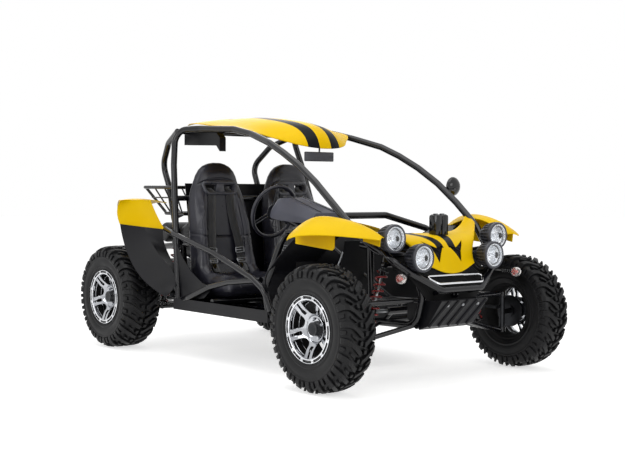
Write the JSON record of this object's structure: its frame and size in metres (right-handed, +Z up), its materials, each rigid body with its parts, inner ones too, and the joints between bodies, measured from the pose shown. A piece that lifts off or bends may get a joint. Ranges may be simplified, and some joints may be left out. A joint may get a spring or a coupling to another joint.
{
  "type": "two-seat dune buggy",
  "caption": "Yellow and black two-seat dune buggy with an open tube cage, moulded wings, round lamps, lugged tyres, working steering and free-turning wheels.",
  "frame": {"origin": "on the ground under the middle of the wheelbase, on the centre plane", "axes": "+X towards the nose, +Y towards the occupants' left, +Z up"},
  "size_m": [2.68, 1.63, 1.426],
  "materials": {
    "frame_black": "satin",
    "body_yellow": "gloss",
    "black_plastic": "matte",
    "grey_plastic": "satin",
    "seat_vinyl": "satin",
    "webbing": "matte",
    "tyre_rubber": "matte",
    "chromed_rim": "polished",
    "bare_steel": "satin",
    "lamp_glass": "clear",
    "amber_lens": "gloss",
    "red_spring": "gloss",
    "cast_alloy": "cast"
  },
  "bodies": {
    "chassis": {"cabin_panels": "black_plastic", "chassis_frame": "frame_black", "dash": "grey_plastic", "engine_block": "cast_alloy", "floor_pan": "frame_black", "front_bumper": "frame_black", "front_fenders": "body_yellow", "harness_belts": "webbing", "headlamp_housings": "black_plastic", "headlamp_lenses": "lamp_glass", "hood": "body_yellow", "mirrors": "black_plastic", "mudguards": "black_plastic", "nose_reservoir": "black_plastic", "rear_fenders": "body_yellow", "rear_rack": "frame_black", "rear_uprights": "bare_steel", "roll_cage": "frame_black", "roof_panel": "body_yellow", "roof_rear_trim": "black_plastic", "seats": "seat_vinyl", "shock_absorbers": "red_spring", "side_bars": "frame_black", "signal_lamps": "amber_lens", "silencer": "bare_steel", "skid_plate": "black_plastic", "small_controls": "bare_steel", "steering_column": "frame_black", "suspension_arms": "frame_black"},
    "knuckle_left": {"knuckle_left": "bare_steel"},
    "knuckle_right": {"knuckle_right": "bare_steel"},
    "steering_wheel": {"steering_wheel": "black_plastic"},
    "steering_rack": {"steering_rack": "bare_steel"},
    "wheel_front_left": {"tyre_front_left": "tyre_rubber", "rim_front_left": "chromed_rim", "hub_front_left": "bare_steel"},
    "wheel_front_right": {"tyre_front_right": "tyre_rubber", "rim_front_right": "chromed_rim", "hub_front_right": "bare_steel"},
    "wheel_rear_left": {"tyre_rear_left": "tyre_rubber", "rim_rear_left": "chromed_rim", "hub_rear_left": "bare_steel"},
    "wheel_rear_right": {"tyre_rear_right": "tyre_rubber", "rim_rear_right": "chromed_rim", "hub_rear_right": "bare_steel"}
  },
  "joints": [
    {"name": "steer_left", "type": "hinge", "parent": "chassis", "child": "knuckle_left", "pos_m": [1.025, 0.6, 0.315], "axis": [0, 0, 1], "range_deg": [-28, 28]},
    {"name": "steer_right", "type": "hinge", "parent": "chassis", "child": "knuckle_right", "pos_m": [1.025, -0.6, 0.315], "axis": [0, 0, 1], "range_deg": [-28, 28]},
    {"name": "steering_wheel_turn", "type": "hinge", "parent": "chassis", "child": "steering_wheel", "pos_m": [0.07, -0.27, 0.86], "axis": [-0.9565, 0, 0.2917], "range_deg": [-252, 252]},
    {"name": "rack_slide", "type": "slide", "parent": "chassis", "child": "steering_rack", "axis": [0, 1, 0], "range_m": [-0.052, 0.052]},
    {"name": "wheel_front_left_spin", "type": "hinge", "parent": "knuckle_left", "child": "wheel_front_left", "pos_m": [1.025, 0.715, 0.315], "axis": [0, 1, 0], "continuous": true},
    {"name": "wheel_front_right_spin", "type": "hinge", "parent": "knuckle_right", "child": "wheel_front_right", "pos_m": [1.025, -0.715, 0.315], "axis": [0, 1, 0], "continuous": true},
    {"name": "wheel_rear_left_spin", "type": "hinge", "parent": "chassis", "child": "wheel_rear_left", "pos_m": [-1.025, 0.64, 0.315], "axis": [0, 1, 0], "continuous": true},
    {"name": "wheel_rear_right_spin", "type": "hinge", "parent": "chassis", "child": "wheel_rear_right", "pos_m": [-1.025, -0.64, 0.315], "axis": [0, 1, 0], "continuous": true}
  ],
  "couplings": [
    {"joint": "steer_right", "follows": "steer_left", "ratio": 1},
    {"joint": "steering_wheel_turn", "follows": "steer_left", "ratio": 9},
    {"joint": "rack_slide", "follows": "steer_left", "m_per_rad": -0.1056}
  ]
}
